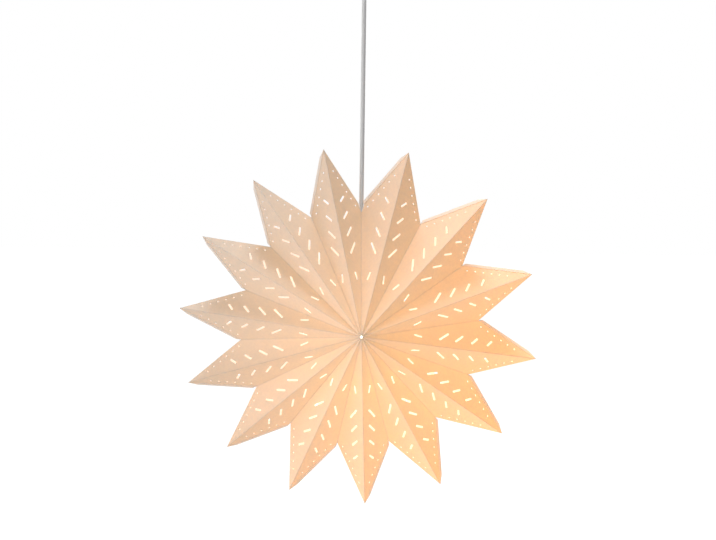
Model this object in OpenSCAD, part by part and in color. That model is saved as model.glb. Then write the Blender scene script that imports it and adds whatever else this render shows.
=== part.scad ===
/* [Star] */
// Distance from the ceiling down to the middle of the star
drop = 500; // [460:5:800]
// Radius from the middle of the star to the tips of its points
star_radius = 240; // [200:1:300]
// Radius from the middle of the star to the outer ends of its valleys
valley_radius = 159; // [140:1:175]
// Depth of the star from its middle plane to its centre, at the front and at the back
half_depth = 96; // [84:1:115]
// Thickness of the card
card_t = 0.35; // [0.25:0.05:0.6]
// How far the first point opens beyond an even share, and the last one falls short of it, in degrees
open_fall = 2.7; // [0:0.1:4]
// How far the points beside the seam open beyond those opposite, in degrees
open_curve = 2.1; // [0:0.1:3]
// Radius of the small hole where the folds meet at the centre
centre_hole_r = 1.5; // [1:0.1:3]
// Room for the glue between a point and its neighbour, in degrees
glue_angle = 0.01; // [0.01:0.01:0.05]

/* [Glue tabs] */
// Width of the tabs that join neighbouring points inside the valleys
tab_w = 8; // [5:0.5:12]
// Radius at which the tabs begin beside the centre
tab_start = 8; // [6:0.5:20]
// Gap between the front tab and the back tab where they meet
tab_gap = 1; // [0.6:0.1:2]
// Width of the glue flange along one side of each point
flange_w = 6.5; // [2:0.1:9]
// How far the glue flange leans back from the middle plane, in degrees
flange_lean = 60; // [0:1:75]
// Length of the flange's slanted end beside the tip
flange_trim = 12; // [1:0.5:20]

/* [Slanted cut-outs] */
// Width of the cut-outs
dash_w = 2.8; // [1.5:0.1:3.5]
// Slanted cut-outs in each panel
dash_count = 4; // [2:1:4]
// Length of the slanted cut-out nearest to the tip
dash_outer_l = 12.5; // [8:0.5:14]
// Length of the slanted cut-out nearest to the centre
dash_inner_l = 20; // [12:0.5:21]
// Lean of the slanted cut-out nearest to the tip, away from the ridge, in degrees
dash_outer_lean = 41; // [25:1:50]
// Lean of the slanted cut-out nearest to the centre, in degrees
dash_inner_lean = 35; // [25:1:45]
// Distance from the tip to the first slanted cut-out, along the ridge
dash_from_tip = 74; // [65:1:85]
// Distance between slanted cut-outs, along the ridge
dash_pitch = 24; // [18:0.5:26]
// Distance of the slanted cut-outs from the ridge
dash_from_ridge = 10.5; // [6:0.5:13]
// Length of the short cut-out near the centre
short_l = 11.5; // [6:0.5:16]
// Lean of the short cut-out towards the ridge, in degrees
short_lean = 9; // [0:1:20]
// Distance of the short cut-out's middle from the centre, along the ridge
short_from_centre = 82; // [70:1:90]
// Distance of the short cut-out's middle from the ridge
short_from_ridge = 12.5; // [8:0.5:14]

/* [Round cut-outs] */
// Diameter of the round cut-outs
dot_d = 2.5; // [1.5:0.1:3]
// Round cut-outs in each panel
dot_count = 6; // [1:1:6]
// Distance between round cut-outs
dot_pitch = 10.8; // [6:0.1:11]
// Distance of the round cut-outs from the outer edge
dot_from_edge = 7.3; // [5:0.1:9]
// Distance from the valley to the first round cut-out, along the outer edge
dot_from_valley = 6.6; // [5:0.1:10]

/* [Seam clips] */
// Clips on each of the two valleys of the seam
clip_count = 2; // [1:1:3]
// Length of a clip along the valley
clip_l = 12; // [6:1:20]
// Depth of a clip over the tabs
clip_depth = 6; // [3:0.5:7]
// Thickness of the clip's plastic
clip_t = 0.8; // [0.5:0.1:1.5]
// Clearance between a clip and the tabs
clip_clearance = 0.05; // [0.02:0.01:0.2]
// Distance from the centre to the first clip, along the valley
clip_first = 42; // [30:1:60]
// Distance between clips, along the valley
clip_pitch = 70; // [30:1:75]

/* [Cord and carrier] */
// Diameter of the cord
cord_d = 5.7; // [4:0.1:6.5]
// Clearance between the cord and what it passes through
cord_clearance = 0.15; // [0.1:0.05:0.4]
// Clearance round the cord in the seam of the star
seam_clearance = 0.75; // [0.3:0.05:2]
// Radius of the carrier cone at its upper end
carrier_top_r = 5.5; // [5:0.1:6.5]
// Radius of the carrier cone at its lower end
carrier_base_r = 14; // [10:0.5:20]
// Radius of the carrier's neck, which holds the screw
carrier_neck_r = 8; // [7:0.5:9.5]
// Height of the carrier's neck
carrier_neck_h = 10; // [8:0.5:16]
// Clearance between the carrier and the tabs that rest on it
carrier_clearance = 0.3; // [0.1:0.05:0.5]

/* [Lampholder] */
// Height of the skirt's upper end above the middle of the star
lamp_height = 28; // [-20:1:40]
// Height of the lampholder's skirt
skirt_h = 32; // [30:0.5:45]
// Outer radius of the skirt
skirt_r = 14; // [13.5:0.5:16]
// Wall of the skirt and the cap
holder_wall = 2; // [1.5:0.1:2]
// Height of the domed cap above the skirt
cap_h = 16; // [14:0.5:26]
// Height of the cord grip above the cap
holder_grip_h = 24; // [20:0.5:40]
// Radius of the cord grip at its lower end
holder_grip_r = 6.5; // [6:0.1:7]
// Radius of the cord grip at its upper end
holder_grip_top_r = 4.2; // [4:0.1:5]
// Radius of the core that holds the screw shell
core_r = 11.5; // [10:0.1:11.5]
// Thickness of the core's floor above the bulb
core_floor = 3.5; // [2.5:0.1:5]
// Wall of the screw shell
shell_wall = 0.4; // [0.3:0.05:0.6]

/* [Bulb] */
// Radius of the bulb's globe
globe_r = 22.5; // [20:0.5:25]
// Length of the bulb from its contact to the lowest point of its globe
bulb_l = 77; // [74:0.5:90]
// Radius of the bulb's screw cap
bulb_cap_r = 6.9; // [6.6:0.1:7]
// Length of the bulb's screw cap
bulb_cap_l = 22; // [18:0.5:24]
// Clearance between the bulb's cap and the screw shell
bulb_clearance = 0.2; // [0.1:0.05:0.3]

/* [Ceiling fitting] */
// Radius of the ceiling cup at the ceiling
cup_r = 44; // [38:0.5:60]
// Radius of the ceiling cup at its foot, before the rounding
cup_foot_r = 38; // [30:0.5:38]
// Height of the ceiling cup
cup_h = 50; // [45:0.5:80]
// Wall of the ceiling cup
cup_wall = 1.8; // [1.2:0.1:3]
// Radius of the rounding at the foot of the cup
cup_round = 10; // [6:0.5:14]
// Height of the cord grip below the cup
grip_h = 12; // [10:0.5:13]
// Radius of the cord grip below the cup
grip_r = 8; // [7.5:0.1:10]
// Radius of the grip's neck through the cup
grip_neck_r = 5; // [4.5:0.1:6]
// Thickness of the nut inside the cup
nut_t = 4; // [2:0.5:6]
// Width of the mounting bar
bar_w = 14; // [10:0.5:20]
// Thickness of the mounting bar's steel
bar_t = 1.5; // [1:0.1:2.5]
// Length of the bar's lugs down inside the cup
lug_l = 12; // [10:0.5:16]
// Distance from the middle to each screw slot in the bar
slot_x = 25; // [20:0.5:28]
// Width of the screw slots
slot_w = 4.5; // [3.5:0.1:6]
// Length of the screw slots
slot_l = 10; // [7:0.5:14]
// Height of the terminal block
terminal_h = 14.5; // [12:0.5:18]

/* [Hidden] */
$fn = 64;

card_colour = [0.98, 0.90, 0.78];
plastic_colour = [0.93, 0.93, 0.92];
metal_colour = [0.75, 0.75, 0.77];

point_count = 14;
last_point = point_count - 1;
seam_angle = 90;
mean_square = (point_count + 1) / (3 * last_point);
centre = [0, -half_depth, 0];
tip = [star_radius, 0, 0];
ridge = tip - centre;
valley_slope = atan2(half_depth, valley_radius);
valley_l = norm([valley_radius, half_depth]);
cut_depth = 8;
overshoot = 1;
past_the_axis = 1.2;

cord_r = cord_d / 2;
cord_bore_r = cord_r + cord_clearance;
// Heights in the lamp are measured from the middle of the star
skirt_top = lamp_height;
skirt_bottom = skirt_top - skirt_h;
cap_top = skirt_top + cap_h;
core_top = skirt_top;
core_bottom = skirt_bottom + holder_wall;
core_roof = core_top - core_floor;
contact_t = 0.8;
bulb_top = core_roof - contact_t - 2.2;
bulb_bottom = bulb_top - bulb_l;
globe_z = bulb_bottom + globe_r;
tip_r = 3;
tip_h = 2;
shell_r = bulb_cap_r + bulb_clearance;
mouth_r = shell_r + shell_wall + 0.7;
cap_bottom = bulb_top - tip_h - bulb_cap_l;
thread_pitch = 3.2;
carrier_apex = valley_radius - tab_w / sin(valley_slope) - carrier_clearance / sin(valley_slope);
carrier_top = carrier_apex - carrier_top_r / tan(valley_slope);
carrier_base = carrier_apex - carrier_base_r / tan(valley_slope);
screw_r = 1.5;
screw_l = 5;

lug_clearance = 0.3;
lug_x = sqrt(pow(cup_outer(lug_l) - cup_wall - lug_clearance, 2) - pow(bar_w / 2, 2));
screw_head_r = 3;
screw_head_t = 1.2;
terminal_bottom = -bar_t - terminal_h;
// The route of the cord from the terminal block to the lampholder, chosen by hand
route = [[0, 0, -16], [0, 0, -30], [0, 0, -45], [0, 0, -60], [0, 0, -75], [0, 0, -90],
    [0, 0, -105], [0, 0, -120], [0, 0, -135], [0, 0, -150], [0, 0, -165], [0, 0, -180],
    [0, 0, -195], [0, 0, -210], [0, 0, -225], [0, 0, -240], [0, 0, -255], [0, 0, -270],
    [0, 0, -285], [0, 0, -300], [0, 0, -315], [0, 0, -330], [0, 0, -345], [0, 0, -360],
    [0, 0, -375], [0, 0, -390], [0, 0, -405], [0, 0, -420], [0, 0, -435], [0, 0, -450],
    [0, 0, -465], [0, 0, -472]];
cord_sides = 12;

// Where a point lies in the fan: 1 beside the seam on its right, -1 beside it on its left
function fan_place(k) = 1 - 2 * k / last_point;
function opening(k) = 360 / point_count + open_fall * fan_place(k)
    + open_curve * (pow(fan_place(k), 2) - mean_square);
function turned(k) = k == 0 ? 0 : turned(k - 1) + opening(k - 1);
function half_open(k) = (opening(k) - glue_angle) / 2;
function unit(v) = v / norm(v);
// Outer radius of the ceiling cup at a distance below the ceiling
function cup_outer(below) = cup_r - (cup_r - cup_foot_r) * below / (cup_h - cup_round);

// A point lies along X in its own frame, its front at -Y and its sides half an opening away
function valley_end(half) = [valley_radius * cos(half), 0, valley_radius * sin(half)];
function panel_normal(half) = unit(cross(ridge, valley_end(half) - centre));
// A panel's plane, with its origin at the centre, X along the ridge and Y towards the valley
function panel_frame(half) = let (
        x = unit(ridge),
        z = panel_normal(half),
        y = cross(z, x))
    [[x[0], y[0], z[0], centre[0]], [x[1], y[1], z[1], centre[1]], [x[2], y[2], z[2], centre[2]]];
function panel_valley(half) = let (
        v = valley_end(half) - centre,
        x = v * unit(ridge))
    [x, sqrt(v * v - x * x)];

// The body that the four panels of a point enclose, scaled about its tip
module enclosed(half, scale_from_tip = 1) {
    v = valley_end(half);
    corners = [centre, tip, -centre, v, [v[0], 0, -v[2]]];
    polyhedron([for (c = corners) tip + scale_from_tip * (c - tip)],
        [[3, 1, 0], [3, 2, 1], [4, 0, 1], [4, 1, 2], [2, 3, 0], [4, 2, 0]]);
}

module panels(half) {
    inward = card_t / abs(panel_normal(half)[0]);
    difference() {
        enclosed(half);
        translate([-inward, 0, 0]) enclosed(half, past_the_axis);
    }
}

// Places something drawn on one panel on all four
module on_each_panel() {
    for (back = [0, 1], side = [0, 1])
        mirror([0, back, 0]) mirror([0, 0, side]) children();
}

// The plane of the valley beside a point, with X along the valley from the centre
module in_valley(half) {
    rotate([0, -half, 0])
        translate(centre)
            rotate([0, 0, valley_slope]) children();
}

module valley_tab(half) {
    start = tab_start / cos(valley_slope);
    stop = valley_l - tab_gap / 2 / sin(valley_slope);
    stop_inside = stop - tab_w / tan(valley_slope);
    intersection() {
        enclosed(half);
        in_valley(half)
            translate([0, 0, -card_t])
                linear_extrude(2 * card_t)
                    polygon([[start, -overshoot], [start, 0], [start + tab_w, tab_w],
                        [stop_inside, tab_w], [stop, 0], [stop, -overshoot]]);
    }
}

module slot(length, width) {
    cube([length - width, width, cut_depth], center = true);
    for (end = [-1, 1])
        translate([end * (length - width) / 2, 0, 0])
            cylinder(d = width, h = cut_depth, center = true);
}

module dashes() {
    for (i = [0 : dash_count - 1]) {
        inward = i / (dash_count - 1);
        length = dash_outer_l + (dash_inner_l - dash_outer_l) * inward;
        lean = dash_outer_lean + (dash_inner_lean - dash_outer_lean) * inward;
        translate([norm(ridge) - dash_from_tip - i * dash_pitch, dash_from_ridge, 0])
            rotate([0, 0, lean])
                translate([length / 2, 0, 0]) slot(length, dash_w);
    }
    translate([short_from_centre, short_from_ridge, 0])
        rotate([0, 0, -short_lean]) slot(short_l, dash_w);
}

module dots(half) {
    v = panel_valley(half);
    edge = [norm(ridge), 0] - v;
    translate([v[0], v[1], 0])
        rotate([0, 0, atan2(edge[1], edge[0])])
            for (i = [0 : dot_count - 1])
                translate([dot_from_valley + i * dot_pitch, -dot_from_edge, 0])
                    cylinder(d = dot_d, h = cut_depth, center = true);
}

// The doubled strip where the sheet is glued to itself, which leans back along the side edge
module glue_flange(half) {
    from = [valley_end(half)[0], valley_end(half)[2]];
    to = [tip[0], tip[2]];
    edge = to - from;
    reach = 2 * star_radius;
    intersection() {
        translate([from[0], 0, from[1]])
            rotate([0, -atan2(edge[1], edge[0]), 0]) {
                translate([0, -card_t, -1.3 * card_t]) cube([norm(edge), 2 * card_t, 1.3 * card_t]);
                rotate([90 - flange_lean, 0, 0])
                    linear_extrude(2 * card_t, center = true)
                        polygon([[0, 0], [norm(edge), 0], [norm(edge) - flange_trim, flange_w],
                            [0, flange_w]]);
            }
        rotate([90, 0, 0])
            linear_extrude(2 * reach, center = true)
                polygon([[0, 0], reach * [cos(half), -sin(half)], reach * [cos(half), sin(half)]]);
    }
}

module folded_sheet(half) {
    difference() {
        union() {
            difference() {
                panels(half);
                on_each_panel() multmatrix(panel_frame(half)) {
                    dashes();
                    dots(half);
                }
            }
            glue_flange(half);
            on_each_panel() valley_tab(half);
        }
        rotate([90, 0, 0]) cylinder(r = centre_hole_r, h = 4 * half_depth, center = true);
    }
}

module in_star() {
    translate([0, 0, -drop]) children();
}

module point(k) {
    color(card_colour)
        in_star()
            difference() {
                rotate([0, turned(k) + opening(k) / 2 - seam_angle, 0]) folded_sheet(half_open(k));
                if (k == 0 || k == last_point)
                    translate([0, 0, valley_radius])
                        cylinder(r = cord_r + seam_clearance, h = valley_radius, center = true);
            }
}

// The U-shaped clips that hold the two ends of the fan together, on the doubled tabs of the seam
module seam_clips() {
    gap = 2 * (card_t + clip_clearance);
    color(plastic_colour)
        in_star() rotate([0, -seam_angle, 0])
            for (back = [0, 1], i = [0 : clip_count - 1])
                mirror([0, back, 0]) in_valley(0)
                    translate([clip_first + i * clip_pitch, tab_w + clip_clearance + clip_t, 0])
                        difference() {
                            translate([0, -clip_depth - clip_t, -gap / 2 - clip_t])
                                cube([clip_l, clip_depth + clip_t, gap + 2 * clip_t]);
                            translate([-overshoot, -clip_depth - clip_t - overshoot, -gap / 2])
                                cube([clip_l + 2 * overshoot, clip_depth + overshoot, gap]);
                        }
}

module shade_carrier() {
    neck_z = carrier_base - carrier_neck_h;
    color(plastic_colour)
        in_star() difference() {
            union() {
                translate([0, 0, carrier_base])
                    cylinder(r1 = carrier_base_r, r2 = carrier_top_r, h = carrier_top - carrier_base);
                translate([0, 0, neck_z]) cylinder(r = carrier_neck_r, h = carrier_neck_h);
            }
            translate([0, 0, neck_z - overshoot])
                cylinder(r = cord_bore_r, h = carrier_top - neck_z + 2 * overshoot);
            translate([cord_r, 0, neck_z + carrier_neck_h / 2])
                rotate([0, 90, 0]) cylinder(r = screw_r + 0.1, h = carrier_base_r);
        }
}

// A small slotted screw that lies along X from the cord outwards
module clamp_screw() {
    difference() {
        translate([cord_r, 0, 0]) rotate([0, 90, 0]) cylinder(r = screw_r, h = screw_l);
        translate([cord_r + screw_l, 0, 0]) cube([1.6, 0.6, 4 * screw_r], center = true);
    }
}

module carrier_screw() {
    color(metal_colour)
        in_star() translate([0, 0, carrier_base - carrier_neck_h / 2]) clamp_screw();
}

module cord() {
    rings = len(route);
    points = [for (p = route, i = [0 : cord_sides - 1])
        p + cord_r * [cos(360 * i / cord_sides), sin(360 * i / cord_sides), 0]];
    walls = [for (r = [0 : rings - 2], i = [0 : cord_sides - 1]) let (
            j = (i + 1) % cord_sides,
            a = r * cord_sides,
            b = a + cord_sides)
        [a + i, a + j, b + j, b + i]];
    top = [for (i = [cord_sides - 1 : -1 : 0]) i];
    foot = [for (i = [0 : cord_sides - 1]) (rings - 1) * cord_sides + i];
    color([0.8, 0.8, 0.8]) polyhedron(points, concat(walls, [top, foot]));
}

module holder_cord_grip() {
    color(plastic_colour)
        in_star() translate([0, 0, cap_top]) difference() {
            union() {
                cylinder(r1 = holder_grip_r, r2 = holder_grip_top_r, h = holder_grip_h);
                translate([0, 0, -holder_wall - 3]) cylinder(r = 5, h = holder_wall + 3);
            }
            translate([0, 0, -holder_wall - 3 - overshoot])
                cylinder(r = cord_bore_r, h = holder_grip_h + holder_wall + 3 + 2 * overshoot);
        }
}

// Half the outline of a dome that is open below, with its shoulder rounded
module dome_outline(r, h, round_r) {
    square([r, h - round_r]);
    square([r - round_r, h]);
    translate([r - round_r, h - round_r]) circle(r = round_r);
}

module holder_cap() {
    shoulder = 10;
    color(plastic_colour)
        in_star() translate([0, 0, skirt_top]) difference() {
            rotate_extrude() intersection() {
                dome_outline(skirt_r, cap_h, shoulder);
                square([skirt_r, cap_h]);
            }
            rotate_extrude() intersection() {
                dome_outline(skirt_r - holder_wall, cap_h - holder_wall, shoulder - holder_wall);
                square([skirt_r, cap_h]);
            }
            translate([0, 0, cap_h - holder_wall - overshoot])
                cylinder(r = 5 + cord_clearance, h = holder_wall + 2 * overshoot);
        }
}

module holder_skirt() {
    color(plastic_colour)
        in_star() translate([0, 0, skirt_bottom]) difference() {
            cylinder(r = skirt_r, h = skirt_h);
            translate([0, 0, holder_wall])
                cylinder(r = skirt_r - holder_wall, h = skirt_h);
            translate([0, 0, -overshoot]) cylinder(r = mouth_r, h = skirt_h);
        }
}

module holder_core() {
    color([0.9, 0.88, 0.82])
        in_star() difference() {
            translate([0, 0, core_bottom]) cylinder(r = core_r, h = core_top - core_bottom);
            translate([0, 0, core_bottom - overshoot])
                cylinder(r = shell_r + shell_wall, h = core_roof - core_bottom + overshoot);
        }
}

module screw_shell() {
    top = core_roof - 5;
    color(metal_colour)
        in_star() translate([0, 0, core_bottom]) difference() {
            cylinder(r = shell_r + shell_wall, h = top - core_bottom);
            translate([0, 0, -overshoot]) cylinder(r = shell_r, h = top - core_bottom + 2 * overshoot);
        }
}

module centre_contact() {
    color([0.8, 0.65, 0.35])
        in_star() {
            translate([0, 0, core_roof - contact_t]) cylinder(r = 5, h = contact_t);
            translate([0, 0, bulb_top + 0.2]) cylinder(r = 2, h = core_roof - contact_t - bulb_top - 0.2);
        }
}

module bulb() {
    neck_r = 12;
    neck_z = globe_z + sqrt(globe_r * globe_r - neck_r * neck_r);
    groove = 0.35;
    turns = floor((bulb_cap_l - 3) / thread_pitch);
    color([1, 0.95, 0.82])
        in_star() {
            translate([0, 0, globe_z]) sphere(r = globe_r);
            translate([0, 0, neck_z - 1])
                cylinder(r1 = neck_r, r2 = bulb_cap_r, h = cap_bottom - neck_z + 1);
            difference() {
                translate([0, 0, cap_bottom]) cylinder(r = bulb_cap_r, h = bulb_cap_l);
                for (i = [0 : turns - 1])
                    translate([0, 0, cap_bottom + 2 + i * thread_pitch])
                        rotate_extrude()
                            translate([bulb_cap_r - groove, 0])
                                square([groove + overshoot, thread_pitch / 2]);
            }
            translate([0, 0, cap_bottom + bulb_cap_l]) cylinder(r1 = tip_r + 2, r2 = tip_r, h = tip_h);
        }
}

// Half the outline of the cup, from the ceiling at Y = 0 to its foot, and above the ceiling by rise
module cup_outline(shrink, rise) {
    intersection() {
        union() {
            polygon([[0, -rise], [cup_outer(-rise) - shrink, -rise],
                [cup_foot_r - shrink, cup_h - cup_round], [0, cup_h - cup_round]]);
            square([cup_foot_r - cup_round, cup_h - shrink]);
            translate([cup_foot_r - cup_round, cup_h - cup_round]) circle(r = cup_round - shrink);
        }
        translate([0, -rise]) square([2 * cup_r, cup_h + rise]);
    }
}

module ceiling_cup() {
    color(plastic_colour) difference() {
        mirror([0, 0, 1]) rotate_extrude() cup_outline(0, 0);
        mirror([0, 0, 1]) rotate_extrude() cup_outline(cup_wall, overshoot);
        translate([0, 0, -cup_h - overshoot]) cylinder(r = grip_neck_r + 0.2, h = cup_wall + 2 * overshoot);
        for (side = [0, 180]) rotate([0, 0, side])
            translate([lug_x, 0, -lug_l / 2]) rotate([0, 90, 0]) cylinder(r = screw_r + 0.1, h = cup_r);
    }
}

module cup_cord_grip() {
    neck_h = cup_wall + nut_t + 2;
    color(plastic_colour) difference() {
        union() {
            translate([0, 0, -cup_h - grip_h]) cylinder(r1 = grip_r - 2, r2 = grip_r, h = grip_h);
            translate([0, 0, -cup_h]) cylinder(r = grip_neck_r, h = neck_h);
        }
        translate([0, 0, -cup_h - grip_h - overshoot])
            cylinder(r = cord_bore_r, h = grip_h + neck_h + 2 * overshoot);
        translate([cord_r, 0, -cup_h - grip_h / 2])
            rotate([0, 90, 0]) cylinder(r = screw_r + 0.1, h = grip_r);
    }
}

module cup_grip_screw() {
    color(metal_colour) translate([0, 0, -cup_h - grip_h / 2]) clamp_screw();
}

module cup_nut() {
    color(plastic_colour) translate([0, 0, -cup_h + cup_wall]) difference() {
        cylinder(r = grip_r + 1, h = nut_t, $fn = 6);
        translate([0, 0, -overshoot]) cylinder(r = grip_neck_r + 0.1, h = nut_t + 2 * overshoot);
    }
}

module mounting_bar() {
    color(metal_colour) difference() {
        union() {
            translate([-lug_x, -bar_w / 2, -bar_t]) cube([2 * lug_x, bar_w, bar_t]);
            for (side = [0, 180]) rotate([0, 0, side])
                translate([lug_x - bar_t, -bar_w / 2, -lug_l]) cube([bar_t, bar_w, lug_l]);
        }
        for (side = [-1, 1]) translate([side * slot_x, 0, 0])
            slot(slot_l, slot_w);
        for (side = [0, 180]) rotate([0, 0, side])
            translate([lug_x - 2 * bar_t, 0, -lug_l / 2])
                rotate([0, 90, 0]) cylinder(r = screw_r + 0.1, h = 3 * bar_t);
    }
}

module cup_screws() {
    head_x = cup_outer(lug_l / 2 - screw_head_r) + 0.1;
    shank_start = lug_x - bar_t - 1;
    color(metal_colour)
        for (side = [0, 180]) rotate([0, 0, side]) translate([0, 0, -lug_l / 2]) rotate([0, 90, 0]) {
            translate([0, 0, shank_start]) cylinder(r = screw_r, h = head_x - shank_start);
            difference() {
                translate([0, 0, head_x]) cylinder(r = screw_head_r, h = screw_head_t);
                translate([0, 0, head_x + screw_head_t])
                    cube([0.6, 3 * screw_head_r, screw_head_t], center = true);
            }
        }
}

module terminal_block() {
    size = [24, 12, terminal_h];
    color([0.95, 0.95, 0.93]) difference() {
        translate([-size[0] / 2, -size[1] / 2, terminal_bottom]) cube(size);
        for (x = [-7, 7], y = [-1, 1])
            translate([x, y * size[1] / 2, terminal_bottom + terminal_h / 2])
                rotate([90, 0, 0]) cylinder(r = 2, h = 4, center = true);
        for (x = [-7, 7])
            translate([x, 0, terminal_bottom - overshoot]) cylinder(r = 1.6, h = 7);
    }
}

point(0);  // point_01
point(1);  // point_02
point(2);  // point_03
point(3);  // point_04
point(4);  // point_05
point(5);  // point_06
point(6);  // point_07
point(7);  // point_08
point(8);  // point_09
point(9);  // point_10
point(10);  // point_11
point(11);  // point_12
point(12);  // point_13
point(13);  // point_14
seam_clips();
shade_carrier();
carrier_screw();
cord();
holder_cord_grip();
holder_cap();
holder_skirt();
holder_core();
screw_shell();
centre_contact();
bulb();
ceiling_cup();
cup_cord_grip();
cup_nut();
cup_grip_screw();
mounting_bar();
cup_screws();
terminal_block();
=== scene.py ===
import math

import bpy
from mathutils import Matrix, Vector


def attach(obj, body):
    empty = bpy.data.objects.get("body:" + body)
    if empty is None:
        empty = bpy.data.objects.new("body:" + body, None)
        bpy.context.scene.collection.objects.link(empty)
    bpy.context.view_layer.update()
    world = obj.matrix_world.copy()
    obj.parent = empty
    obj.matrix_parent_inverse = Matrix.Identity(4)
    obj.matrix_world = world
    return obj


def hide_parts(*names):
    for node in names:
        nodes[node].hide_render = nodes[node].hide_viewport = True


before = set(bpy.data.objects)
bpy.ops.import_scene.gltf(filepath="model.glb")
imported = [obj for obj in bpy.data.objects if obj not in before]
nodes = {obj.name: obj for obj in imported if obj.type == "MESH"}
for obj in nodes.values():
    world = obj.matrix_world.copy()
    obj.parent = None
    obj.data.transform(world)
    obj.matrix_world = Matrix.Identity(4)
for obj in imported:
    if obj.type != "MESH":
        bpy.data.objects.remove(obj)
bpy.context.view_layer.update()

# The star, as in its source, in metres and degrees
DROP = 0.5
STAR_RADIUS = 0.24
VALLEY_RADIUS = 0.159
HALF_DEPTH = 0.096
POINTS = 14
OPEN_FALL = 2.7
OPEN_CURVE = 2.1
SEAM_ANGLE = 90.0
GLOBE_Z = -0.033
GLOBE_R = 0.0225
STAR_MIDDLE = Vector((0, 0, -DROP))

# The cord's route, as in the source: from the terminal block down to the lampholder
CORD_D = 0.0057
CORD_TOP = (0, 0, -0.016)
CORD_STEP = 0.015
CORD_END = (0, 0, -0.472)
CORD_ROUTE = [CORD_TOP] + [(0, 0, -CORD_STEP * step) for step in range(2, 32)] + [CORD_END]

# The camera: where it stands from the middle of the star, where it looks, and its view
CAMERA_AWAY = Vector((-0.0356, -1.4274, 0.1859))
HEADING = math.radians(1.298)
PITCH = math.radians(-4.389)
ROLL = math.radians(0.79)
FOCAL_PIXELS = 1079.1
IMAGE_WIDTH = 716
SENSOR = 36.0


def make_camera():
    data = bpy.data.cameras.new("camera")
    data.sensor_width = SENSOR
    data.lens = SENSOR * FOCAL_PIXELS / IMAGE_WIDTH
    data.clip_start = 0.05
    data.clip_end = 60
    camera = bpy.data.objects.new("camera", data)
    bpy.context.scene.collection.objects.link(camera)
    forward = Vector((
        math.sin(HEADING) * math.cos(PITCH), math.cos(HEADING) * math.cos(PITCH), math.sin(PITCH)))
    right = Vector((math.cos(HEADING), -math.sin(HEADING), 0))
    up = right.cross(forward)
    level = Matrix((right, up, -forward)).transposed().to_4x4()
    stand = Matrix.Translation(STAR_MIDDLE + CAMERA_AWAY)
    camera.matrix_world = stand @ level @ Matrix.Rotation(ROLL, 4, "Z")
    bpy.context.scene.camera = camera


make_camera()


def node_maker(tree):
    """Empties a node tree and gives the maker of its nodes."""
    tree.nodes.clear()

    def node(kind, **settings):
        made = tree.nodes.new(kind)
        inputs = settings.pop("inputs", {})
        for key, value in settings.items():
            setattr(made, key, value)
        for key, value in inputs.items():
            if isinstance(value, bpy.types.NodeSocket):
                tree.links.new(value, made.inputs[key])
            else:
                made.inputs[key].default_value = value
        return made

    return node


def new_material(name):
    """The node maker of a new material, and what joins its last shader to its output."""
    material = bpy.data.materials.new(name)
    material.use_nodes = True
    node = node_maker(material.node_tree)

    def finish(shader):
        node("ShaderNodeOutputMaterial", inputs={"Surface": shader})
        return material

    return node, finish


def wear(name, material):
    """Gives a CAD node its material."""
    mesh = nodes[name].data
    mesh.materials.clear()
    mesh.materials.append(material)


def maths(node, operation, *values, clamp=False):
    made = node("ShaderNodeMath", operation=operation, use_clamp=clamp, inputs=dict(enumerate(values)))
    return made.outputs[0]


def ramp(node, value, low, high, start, end):
    """value from low to high, mapped smoothly to start and end."""
    made = node("ShaderNodeMapRange", interpolation_type="SMOOTHSTEP",
                inputs={"Value": value, "From Min": low, "From Max": high, "To Min": start, "To Max": end})
    return made.outputs["Result"]


# What most of a noise lies between
NOISE_SPAN = (0.3, 0.7)


def noise(node, place, scale, detail=2.0, roughness=0.5):
    made = node("ShaderNodeTexNoise",
                inputs={"Vector": place, "Scale": scale, "Detail": detail, "Roughness": roughness})
    return made.outputs[0]


def dot(node, vector, direction):
    made = node("ShaderNodeVectorMath", operation="DOT_PRODUCT", inputs={0: vector, 1: direction})
    return made.outputs["Value"]


def blend(node, kind, factor, first, second):
    """Two colours blended. Sockets 6 and 7 are a mix node's colours, and output 2 is its result."""
    made = node("ShaderNodeMix", data_type="RGBA", blend_type=kind, inputs={0: factor, 6: first, 7: second})
    return made.outputs[2]


def opening(k):
    """How far point k opens, in degrees, as in the source."""
    place = 1 - 2 * k / (POINTS - 1)
    mean_square = (POINTS + 1) / (3 * (POINTS - 1))
    return 360 / POINTS + OPEN_FALL * place + OPEN_CURVE * (place * place - mean_square)


def tip_angle(k):
    return SEAM_ANGLE - sum(opening(j) for j in range(k)) - opening(k) / 2


# The card: the colour of its faces, of the light that crosses one face, and that light's share
CARD_FACE = (0.95, 0.945, 0.94, 1)
CARD_THROUGH = (0.95, 0.64, 0.20, 1)
CARD_SHARE = 0.40
# Painted light: a faint glow painted on the inner faces in place of the light that bounces between them, and
# another painted on the glue flanges
INNER_PAINTED_GLOW_COLOUR = (0.68, 0.82, 1.0, 1)
INNER_PAINTED_GLOW = 0.27
FLANGE_PAINTED_GLOW = 0.12
# Painted light: how much more lamplight is painted into what crosses one face at the star's radius to the
# right, and above, than in the middle
PAINTED_LIGHT_RIGHT = 0.25
PAINTED_LIGHT_UP = -0.16
# Heights over a panel's outer face that part its inner face, and its glue flange, from the rest
INNER_FACE = (-0.00028, -0.00012)
FLANGE_FOOT = (0.0002, 0.0008)
# The folds: painted shade along each crease, how far from a crease it stays full and where it ends, and the
# share of light left there
CREASE = 0.0003
CREASE_EDGE = 0.0014
RIDGE_PAINTED_SHADE = 0.88
VALLEY_PAINTED_SHADE = 0.84
# The paper's clouds and fibres: how fine they are, and from what to what they change the light
FLOC_SCALE = 260
FLOC_SPAN = (0.25, 0.75)
FLOC_LIGHT = (0.92, 1.06)
FIBRE_SCALE = 1500
FIBRE_LIGHT = (0.985, 1.015)
# How high the fibres and the card's faint waves stand, how fine the waves are, and how much both count
FIBRE_HEIGHT = 0.00002
WAVE_HEIGHT = 0.0022
WAVE_SCALE = 14
RELIEF = 0.6


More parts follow.
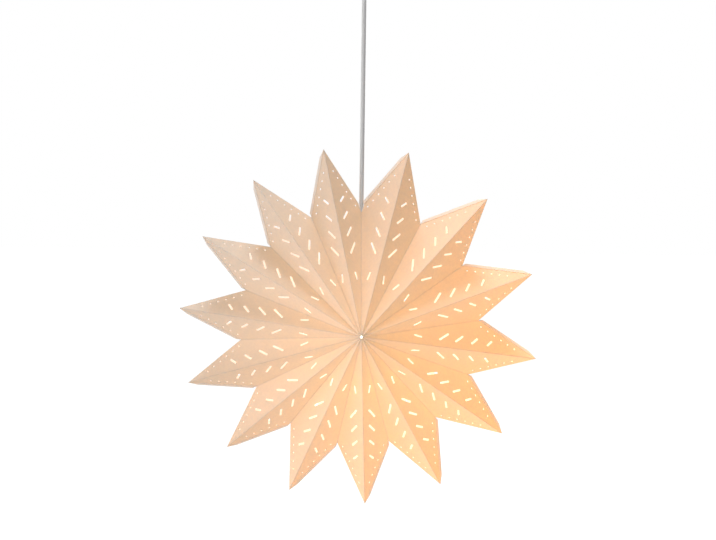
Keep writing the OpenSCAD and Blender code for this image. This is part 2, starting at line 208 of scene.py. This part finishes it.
def panel_plane(k):
    """The outward normal of point k's panels, folded into one eighth, and their distance from the middle."""
    half = math.radians(opening(k) / 2)
    tip = Vector((STAR_RADIUS, 0, 0))
    centre = Vector((0, HALF_DEPTH, 0))
    valley = VALLEY_RADIUS * Vector((math.cos(half), 0, math.sin(half)))
    normal = (valley - tip).cross(centre - tip).normalized()
    if normal.dot(tip) < 0:
        normal.negate()
    return normal, normal.dot(tip)


def card_material(k):
    """Thin white card that lets the lamp's light through, with its fibres, painted shade along its folds,
    faint waviness, painted light that grows to the right and fades upward, and a painted glow on its inner
    faces and flanges.
    """
    node, finish = new_material(f"card_{k + 1:02d}")
    world = node("ShaderNodeTexCoord").outputs["Object"]
    middle = node("ShaderNodeVectorMath", operation="SUBTRACT", inputs={0: world, 1: STAR_MIDDLE}).outputs[0]
    place = node("ShaderNodeVectorRotate", rotation_type="Y_AXIS",
                 inputs={"Vector": middle, "Angle": math.radians(tip_angle(k))}).outputs[0]
    folded = node("ShaderNodeVectorMath", operation="ABSOLUTE", inputs={0: place}).outputs[0]

    # Height over the panels' outer faces: inside the star it is below them, and on the flange above
    panel, distance = panel_plane(k)
    height = maths(node, "SUBTRACT", dot(node, folded, panel), distance)
    inside = ramp(node, height, *INNER_FACE, 1.0, 0.0)
    flange = ramp(node, height, *FLANGE_FOOT, 0.0, 1.0)

    # Distance from the ridge, and from the valley, which lies half the point's opening away from it
    half = math.radians(opening(k) / 2)
    from_ridge = dot(node, folded, (0, 0, 1))
    from_valley = dot(node, folded, (-math.sin(half), 0, math.cos(half)))
    # Painted shade: the light crossing the card is dimmed along the ridge and valley creases
    ridge = ramp(node, from_ridge, CREASE, CREASE_EDGE, RIDGE_PAINTED_SHADE, 1.0)
    valley = ramp(node, from_valley, -CREASE_EDGE, -CREASE, 1.0, VALLEY_PAINTED_SHADE)

    # Lamplight that crosses the card, with painted light stronger to the right and weaker above, and painted
    # shade at the creases
    flocs = noise(node, place, FLOC_SCALE, detail=5, roughness=0.6)
    fibres = noise(node, place, FIBRE_SCALE, detail=2, roughness=0.7)
    cloudy = ramp(node, flocs, *FLOC_SPAN, *FLOC_LIGHT)
    fibrous = ramp(node, fibres, *NOISE_SPAN, *FIBRE_LIGHT)
    # Painted light: the light crossing the card is made brighter to the right and dimmer upward
    painted_light_slope = dot(node, middle, (PAINTED_LIGHT_RIGHT / STAR_RADIUS, 0, PAINTED_LIGHT_UP / STAR_RADIUS))
    through = maths(node, "ADD", painted_light_slope, 1.0)
    for factor in (cloudy, fibrous, ridge, valley):
        through = maths(node, "MULTIPLY", through, factor)
    through_colour = blend(node, "MULTIPLY", 1.0, CARD_THROUGH, through)

    waves = noise(node, place, WAVE_SCALE, detail=1, roughness=0.4)
    relief = maths(node, "MULTIPLY_ADD", fibres, FIBRE_HEIGHT, maths(node, "MULTIPLY", waves, WAVE_HEIGHT))
    bump = node("ShaderNodeBump", inputs={"Height": relief, "Strength": RELIEF, "Distance": 1.0}).outputs[0]
    face = node("ShaderNodeBsdfDiffuse", inputs={"Color": CARD_FACE, "Roughness": 0.0, "Normal": bump})
    glow = node("ShaderNodeBsdfTranslucent", inputs={"Color": through_colour, "Normal": bump})
    both = node("ShaderNodeMixShader", inputs={0: CARD_SHARE, 1: face.outputs[0], 2: glow.outputs[0]})
    # Painted light: the card's inner faces and glue flanges glow, in place of lamplight bouncing inside the
    # star
    flange_painted_glow = maths(node, "MULTIPLY", flange, FLANGE_PAINTED_GLOW)
    strength = maths(node, "MULTIPLY_ADD", inside, INNER_PAINTED_GLOW, flange_painted_glow)
    painted_glow = node("ShaderNodeEmission", inputs={"Color": INNER_PAINTED_GLOW_COLOUR, "Strength": strength})
    lit = node("ShaderNodeAddShader", inputs={0: both.outputs[0], 1: painted_glow.outputs[0]})
    made = finish(lit.outputs[0])
    made.cycles.emission_sampling = "NONE"
    return made


# How fine the clouds in moulded plastic are, and how much of its colour their darkest part keeps
CLOUD_SCALE = 40
CLOUD_SHADE = 0.96


def moulded(name, colour, roughness, grain=3000.0, depth=0.00001):
    """Moulded plastic with a fine grain."""
    node, finish = new_material(name)
    place = node("ShaderNodeTexCoord").outputs["Object"]
    fine = noise(node, place, grain)
    cloud = noise(node, place, CLOUD_SCALE, detail=3)
    gloss = ramp(node, cloud, *NOISE_SPAN, roughness - 0.04, roughness + 0.05)
    shaded = [part * CLOUD_SHADE for part in colour]
    tint = blend(node, "MIX", cloud, (*shaded, 1), (*colour, 1))
    bump = node("ShaderNodeBump", inputs={"Height": fine, "Strength": 0.3, "Distance": depth})
    shader = node("ShaderNodeBsdfPrincipled", inputs={
        "Base Color": tint, "Roughness": gloss, "Normal": bump.outputs[0]})
    return finish(shader.outputs[0])


# How fine the brush marks of metal are to the sides and along its height
BRUSHED = (60, 60, 2500)


def metal(name, colour, roughness):
    """Plated sheet metal, lightly brushed."""
    node, finish = new_material(name)
    place = node("ShaderNodeTexCoord").outputs["Object"]
    stretched = node("ShaderNodeMapping", inputs={"Vector": place, "Scale": BRUSHED})
    brushed = noise(node, stretched.outputs[0], 1.0, detail=3)
    gloss = ramp(node, brushed, *NOISE_SPAN, roughness - 0.06, roughness + 0.08)
    shader = node("ShaderNodeBsdfPrincipled", inputs={
        "Base Color": (*colour, 1), "Metallic": 1.0, "Roughness": gloss})
    return finish(shader.outputs[0])


# The lit globe: its light, and how far below and above its top the glow fades into the cap
LAMP_COLOUR = (1.0, 0.98, 0.6, 1)
LAMP_STRENGTH = 6.8
GLOW_FADES_BELOW = 0.001
GLOW_FADES_ABOVE = 0.006
CAP_COLOUR = (0.7, 0.68, 0.64, 1)


def bulb_material():
    """A frosted globe that glows, below a pale screw cap."""
    node, finish = new_material("lit_bulb")
    place = node("ShaderNodeTexCoord").outputs["Object"]
    height = node("ShaderNodeSeparateXYZ", inputs={0: place}).outputs["Z"]
    globe_top = -DROP + GLOBE_Z + GLOBE_R
    lit = ramp(node, height, globe_top - GLOW_FADES_BELOW, globe_top + GLOW_FADES_ABOVE, 1.0, 0.0)
    glow = node("ShaderNodeEmission", inputs={"Color": LAMP_COLOUR, "Strength": LAMP_STRENGTH})
    cap = node("ShaderNodeBsdfPrincipled", inputs={
        "Base Color": CAP_COLOUR, "Metallic": 0.0, "Roughness": 0.35})
    both = node("ShaderNodeMixShader", inputs={0: lit, 1: cap.outputs[0], 2: glow.outputs[0]})
    return finish(both.outputs[0])


for k in range(POINTS):
    wear(f"point_{k + 1:02d}", card_material(k))

white_plastic = moulded("white_plastic", (0.82, 0.82, 0.81), 0.38)
core_plastic = moulded("core_plastic", (0.78, 0.74, 0.66), 0.5)
steel = metal("steel", (0.62, 0.62, 0.64), 0.3)
nickel = metal("nickel", (0.66, 0.64, 0.60), 0.25)
brass = metal("contact_brass", (0.72, 0.55, 0.28), 0.3)
for name in ("seam_clips", "shade_carrier", "holder_cord_grip", "holder_cap", "holder_skirt",
             "ceiling_cup", "cup_cord_grip", "cup_nut"):
    wear(name, white_plastic)
for name in ("holder_core", "terminal_block"):
    wear(name, core_plastic)
for name in ("carrier_screw", "cup_grip_screw", "mounting_bar", "cup_screws"):
    wear(name, steel)
wear("screw_shell", nickel)
wear("centre_contact", brass)
wear("bulb", bulb_material())


def make_cord():
    """The round lead, taut from the ceiling cup to the lampholder."""
    curve = bpy.data.curves.new("cord_lead", "CURVE")
    curve.dimensions = "3D"
    curve.bevel_depth = CORD_D / 2
    curve.bevel_resolution = 6
    curve.use_fill_caps = True
    spline = curve.splines.new("POLY")
    spline.points.add(len(CORD_ROUTE) - 1)
    for point, place in zip(spline.points, CORD_ROUTE):
        point.co = (*place, 1)
    lead = bpy.data.objects.new("cord_lead", curve)
    bpy.context.scene.collection.objects.link(lead)
    curve.materials.append(moulded("cord_sheath", (0.78, 0.775, 0.77), 0.42, grain=1800, depth=0.00002))
    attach(lead, "root")
    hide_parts("cord")
    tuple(CORD_ROUTE[0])


make_cord()

# Room: a pale floor well below the star, and a plain white world
FLOOR_Z = -1.3
FLOOR_SIZE = 30
FLOOR_COLOUR = (0.85, 0.85, 0.85, 1)
FLOOR_GLOW = 0.96
WORLD_LIGHT = 0.13
WHITE = (1, 1, 1, 1)


def camera_or_clear(node):
    """1 for rays that should see the plain white background, else 0."""
    path = node("ShaderNodeLightPath")
    seen = maths(node, "ADD", path.outputs["Is Camera Ray"], path.outputs["Is Glossy Ray"])
    return maths(node, "ADD", seen, path.outputs["Is Transmission Ray"], clamp=True)


def make_floor():
    bpy.ops.mesh.primitive_plane_add(size=FLOOR_SIZE, location=(0, 0, FLOOR_Z))
    floor = bpy.context.object
    floor.name = "floor"
    node, finish = new_material("floor")
    strength = maths(node, "MULTIPLY", camera_or_clear(node), FLOOR_GLOW)
    pale = node("ShaderNodeBsdfDiffuse", inputs={"Color": FLOOR_COLOUR})
    white = node("ShaderNodeEmission", inputs={"Color": WHITE, "Strength": strength})
    both = node("ShaderNodeAddShader", inputs={0: pale.outputs[0], 1: white.outputs[0]})
    floor.data.materials.append(finish(both.outputs[0]))


def make_world():
    world = bpy.data.worlds.new("studio")
    bpy.context.scene.world = world
    world.use_nodes = True
    node = node_maker(world.node_tree)
    strength = maths(node, "MULTIPLY_ADD", camera_or_clear(node), 1 - WORLD_LIGHT, WORLD_LIGHT)
    background = node("ShaderNodeBackground", inputs={"Color": WHITE, "Strength": strength})
    node("ShaderNodeOutputWorld", inputs={"Surface": background.outputs[0]})


LAMP_DISTANCE = 2.6


def area_light(name, heading, height, size, watts):
    """A square soft lamp that faces the star. Heading 0 is in front, -90 is left; height is its angle up."""
    data = bpy.data.lights.new(name, "AREA")
    data.size = size
    data.energy = watts
    lamp = bpy.data.objects.new(name, data)
    bpy.context.scene.collection.objects.link(lamp)
    heading = math.radians(heading)
    height = math.radians(height)
    lamp.location = STAR_MIDDLE + LAMP_DISTANCE * Vector((
        math.sin(heading) * math.cos(height), -math.cos(heading) * math.cos(height), math.sin(height)))
    lamp.rotation_euler = (STAR_MIDDLE - lamp.location).to_track_quat("-Z", "Y").to_euler()


make_floor()
make_world()
area_light("over", heading=0, height=98, size=0.8, watts=42)
area_light("left", heading=-80, height=5, size=2.2, watts=28)
area_light("low", heading=0, height=-80, size=1.5, watts=12)
area_light("front", heading=-5, height=15, size=1.0, watts=16)

scene = bpy.context.scene
scene.cycles.diffuse_bounces = 10
scene.cycles.transmission_bounces = 12
scene.cycles.max_bounces = 16
scene.view_settings.view_transform = "Standard"
